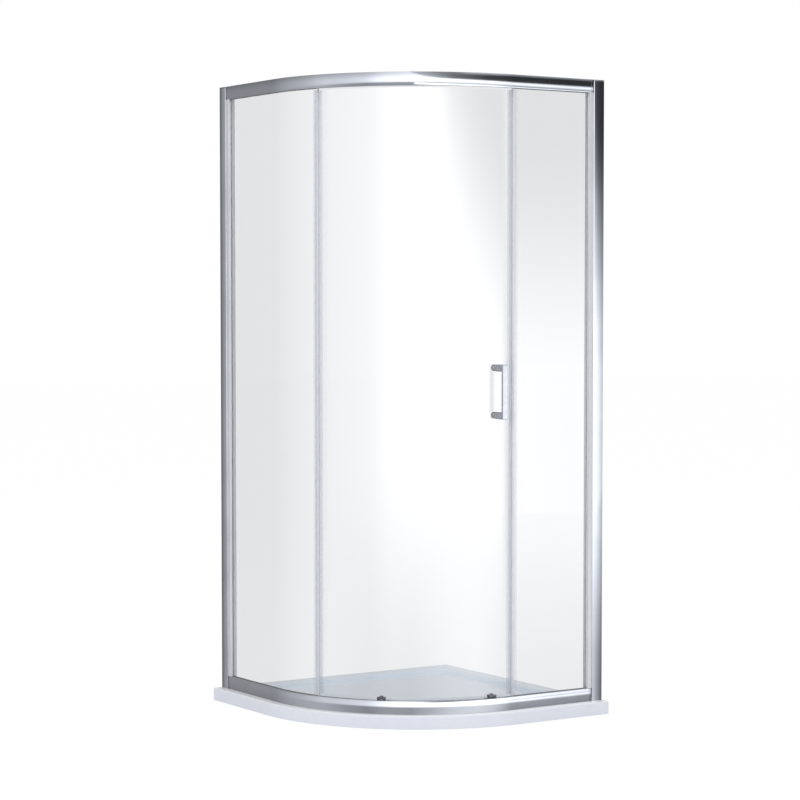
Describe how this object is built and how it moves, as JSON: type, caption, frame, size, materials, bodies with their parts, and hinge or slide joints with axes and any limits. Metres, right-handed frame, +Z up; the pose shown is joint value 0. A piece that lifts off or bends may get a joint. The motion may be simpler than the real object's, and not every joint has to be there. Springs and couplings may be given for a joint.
{
  "type": "quadrant shower enclosure",
  "caption": "Quadrant shower enclosure: curved and flat clear glass between curved polished rails on a low white tray, with a curved sliding door on grooved rollers.",
  "frame": {"origin": "middle of the tray's footprint on the floor", "axes": "+Z up; the room corner lies at +X +Y, the curved front faces -X -Y; the left wall profile meets the wall at +Y, the right one the wall at +X"},
  "size_m": [0.9, 0.9, 1.95],
  "materials": {
    "tray_stone": "gloss",
    "clear_glass": "polished",
    "polished_aluminium": "polished",
    "bright_chrome": "polished",
    "chrome_plastic": "plated",
    "dark_rubber": "matte",
    "clear_seal": "translucent",
    "clear_washer": "translucent",
    "wheel_nylon": "satin",
    "steel": "satin"
  },
  "bodies": {
    "enclosure": {"shower_tray": "tray_stone", "top_rail": "polished_aluminium", "bottom_rail": "polished_aluminium", "top_gasket_left": "dark_rubber", "corner_block_top_left": "polished_aluminium", "top_gasket_right": "dark_rubber", "corner_block_top_right": "polished_aluminium", "bottom_gasket_left": "dark_rubber", "corner_block_bottom_left": "polished_aluminium", "bottom_gasket_right": "dark_rubber", "corner_block_bottom_right": "polished_aluminium", "side_profile_left": "polished_aluminium", "wall_profile_left": "polished_aluminium", "wall_cap_left": "chrome_plastic", "side_gasket_left": "dark_rubber", "fixed_glass_left": "clear_glass", "fixed_seal_left": "clear_seal", "profile_screws_left": "steel", "profile_screw_covers_left": "chrome_plastic", "side_profile_right": "polished_aluminium", "wall_profile_right": "polished_aluminium", "wall_cap_right": "chrome_plastic", "side_gasket_right": "dark_rubber", "fixed_glass_right": "clear_glass", "fixed_seal_right": "clear_seal", "profile_screws_right": "steel", "profile_screw_covers_right": "chrome_plastic", "corner_screws": "steel", "door_stops": "dark_rubber"},
    "door": {"door_glass": "clear_glass", "door_seal_left": "clear_seal", "door_seal_right": "clear_seal", "door_handle": "bright_chrome", "handle_bolts": "steel", "handle_knobs": "bright_chrome", "handle_washers": "clear_washer", "roller_guides": "wheel_nylon", "top_roller_pin_left": "bright_chrome", "top_roller_cap_left": "bright_chrome", "bottom_roller_housing_left": "bright_chrome", "bottom_roller_cap_left": "bright_chrome", "release_spring_left": "steel", "top_roller_pin_right": "bright_chrome", "top_roller_cap_right": "bright_chrome", "bottom_roller_housing_right": "bright_chrome", "bottom_roller_cap_right": "bright_chrome", "release_spring_right": "steel"},
    "top_wheel_left": {"top_wheel_left": "wheel_nylon", "top_bearing_left": "steel"},
    "release_left": {"release_slider_left": "bright_chrome"},
    "bottom_wheel_left": {"bottom_wheel_left": "wheel_nylon", "bottom_bearing_left": "steel"},
    "top_wheel_right": {"top_wheel_right": "wheel_nylon", "top_bearing_right": "steel"},
    "release_right": {"release_slider_right": "bright_chrome"},
    "bottom_wheel_right": {"bottom_wheel_right": "wheel_nylon", "bottom_bearing_right": "steel"}
  },
  "joints": [
    {"name": "door_slide", "type": "hinge", "parent": "enclosure", "child": "door", "pos_m": [0.1, 0.1, 0], "axis": [0, 0, -1], "range_deg": [0, 42]},
    {"name": "top_wheel_turn_left", "type": "hinge", "parent": "door", "child": "top_wheel_left", "pos_m": [-0.25742, -0.24879, 1.9332], "axis": [-0.7157, -0.6984, 0], "range_deg": [-10, 2341]},
    {"name": "release_slide_left", "type": "slide", "parent": "door", "child": "release_left", "axis": [0, 0, -1], "range_m": [0, 0.003], "stiffness_N_per_m": 1200, "springref_m": -0.004, "deforming": ["release_spring_left"]},
    {"name": "bottom_wheel_turn_left", "type": "hinge", "parent": "release_left", "child": "bottom_wheel_left", "pos_m": [-0.25742, -0.24879, 0.0568], "axis": [-0.7157, -0.6984, 0], "range_deg": [-2341, 10]},
    {"name": "top_wheel_turn_right", "type": "hinge", "parent": "door", "child": "top_wheel_right", "pos_m": [0.04607, -0.39648, 1.9332], "axis": [-0.108, -0.9942, 0], "range_deg": [-10, 2341]},
    {"name": "release_slide_right", "type": "slide", "parent": "door", "child": "release_right", "axis": [0, 0, -1], "range_m": [0, 0.003], "stiffness_N_per_m": 1200, "springref_m": -0.004, "deforming": ["release_spring_right"]},
    {"name": "bottom_wheel_turn_right", "type": "hinge", "parent": "release_right", "child": "bottom_wheel_right", "pos_m": [0.04607, -0.39648, 0.0568], "axis": [-0.108, -0.9942, 0], "range_deg": [-2341, 10]}
  ],
  "couplings": [
    {"joint": "top_wheel_turn_left", "follows": "door_slide", "ratio": 55.489},
    {"joint": "bottom_wheel_turn_left", "follows": "door_slide", "ratio": -55.489},
    {"joint": "top_wheel_turn_right", "follows": "door_slide", "ratio": 55.489},
    {"joint": "bottom_wheel_turn_right", "follows": "door_slide", "ratio": -55.489}
  ]
}
